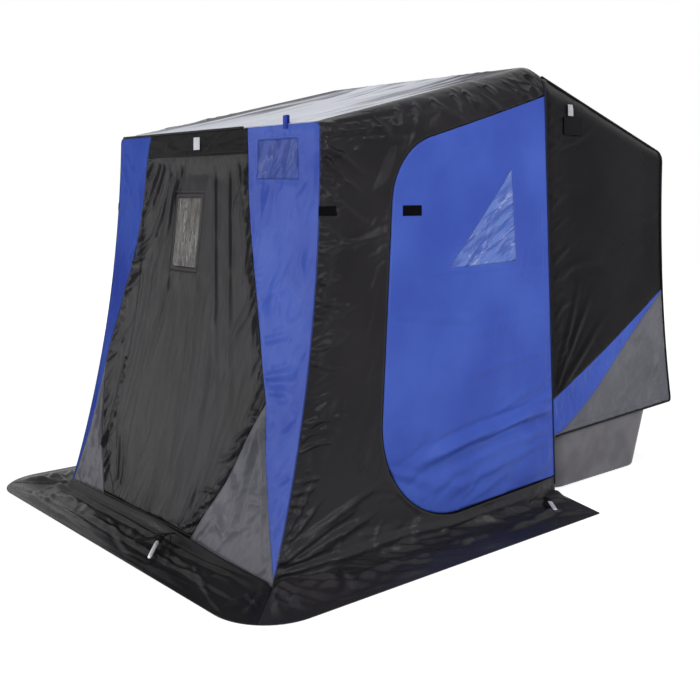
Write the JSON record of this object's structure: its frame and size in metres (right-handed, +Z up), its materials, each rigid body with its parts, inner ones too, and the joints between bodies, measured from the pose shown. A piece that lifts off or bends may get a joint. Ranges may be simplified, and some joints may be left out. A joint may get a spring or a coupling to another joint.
{
  "type": "flip-over ice fishing hut",
  "caption": "Portable ice fishing hut: cloth tent with a zipped front, hinged side door and ground skirt, on folding tube bows carried by a moulded sled.",
  "frame": {"origin": "middle of the base: centre of the ground outline of the skirt, sled and hem, at ground level", "axes": "+X to the right as seen from the front, +Y from the front door back to the sled, +Z up"},
  "size_m": [2.328, 3.016, 2.045],
  "materials": {
    "black_cloth": "coated woven tent cloth, satin",
    "blue_cloth": "coated woven tent cloth, satin",
    "bracket_steel": "black powder coat",
    "clear_film": "soft clear vinyl window film, crinkled",
    "grey_cloth": "coated woven tent cloth, heavier weave",
    "nylon_fitting": "moulded nylon",
    "piping": "sewn-in cord under cloth",
    "reflective_tape": "silver reflective tape",
    "silver_cloth": "silver-coated woven tent cloth, satin",
    "skirt_cloth": "heavy coated skirt cloth, glossy",
    "sled_plastic": "rotationally moulded polyethylene, fine grain",
    "tube_steel": "grey powder-coated round tube"
  },
  "bodies": {
    "hut": {"base_bow_bends": "nylon_fitting", "base_bow_elbows": "nylon_fitting", "base_bow_legs": "tube_steel", "base_bow_spreader": "tube_steel", "door_hinge_cord_left": "piping", "door_hinge_cord_right": "piping", "front_bow_elbows": "nylon_fitting", "front_bow_spreader": "tube_steel", "front_door_panel": "black_cloth", "front_door_window": "clear_film", "front_gusset_left": "grey_cloth", "front_gusset_right": "grey_cloth", "front_header_panel": "black_cloth", "front_sill_band": "black_cloth", "front_strip_left": "blue_cloth", "front_strip_right": "blue_cloth", "front_window_tape": "black_cloth", "peak_bow_elbows": "nylon_fitting", "peak_bow_legs": "tube_steel", "peak_bow_spreader": "tube_steel", "pivot_bracket_left": "bracket_steel", "pivot_bracket_right": "bracket_steel", "rear_bow_elbows": "nylon_fitting", "rear_bow_legs": "tube_steel", "rear_bow_spreader": "tube_steel", "rear_lower_panel": "grey_cloth", "rear_wall_panel": "black_cloth", "reflective_tabs": "reflective_tape", "roof_front_panel": "silver_cloth", "roof_rails": "tube_steel", "roof_rear_panel": "black_cloth", "side_door_left": "blue_cloth", "side_door_window_left": "clear_film", "side_front_panel_left": "black_cloth", "side_front_panel_right": "black_cloth", "side_lower_panel_left": "grey_cloth", "side_lower_panel_right": "grey_cloth", "side_rear_panel_left": "black_cloth", "side_rear_panel_right": "black_cloth", "side_stripe_left": "blue_cloth", "side_stripe_right": "blue_cloth", "skirt_front": "skirt_cloth", "skirt_left": "skirt_cloth", "skirt_right": "skirt_cloth", "sled_tub": "sled_plastic", "strip_window_right": "clear_film", "vent_flaps": "black_cloth"},
    "side_door": {"side_door_right": "blue_cloth", "side_door_window_right": "clear_film"}
  },
  "joints": [
    {"name": "side_door_hinge", "type": "hinge", "parent": "hut", "child": "side_door", "pos_m": [0.83446, 0.44602, 1], "axis": [-0.0205, -0.0673, 0.9975], "range_deg": [0, 150]}
  ]
}
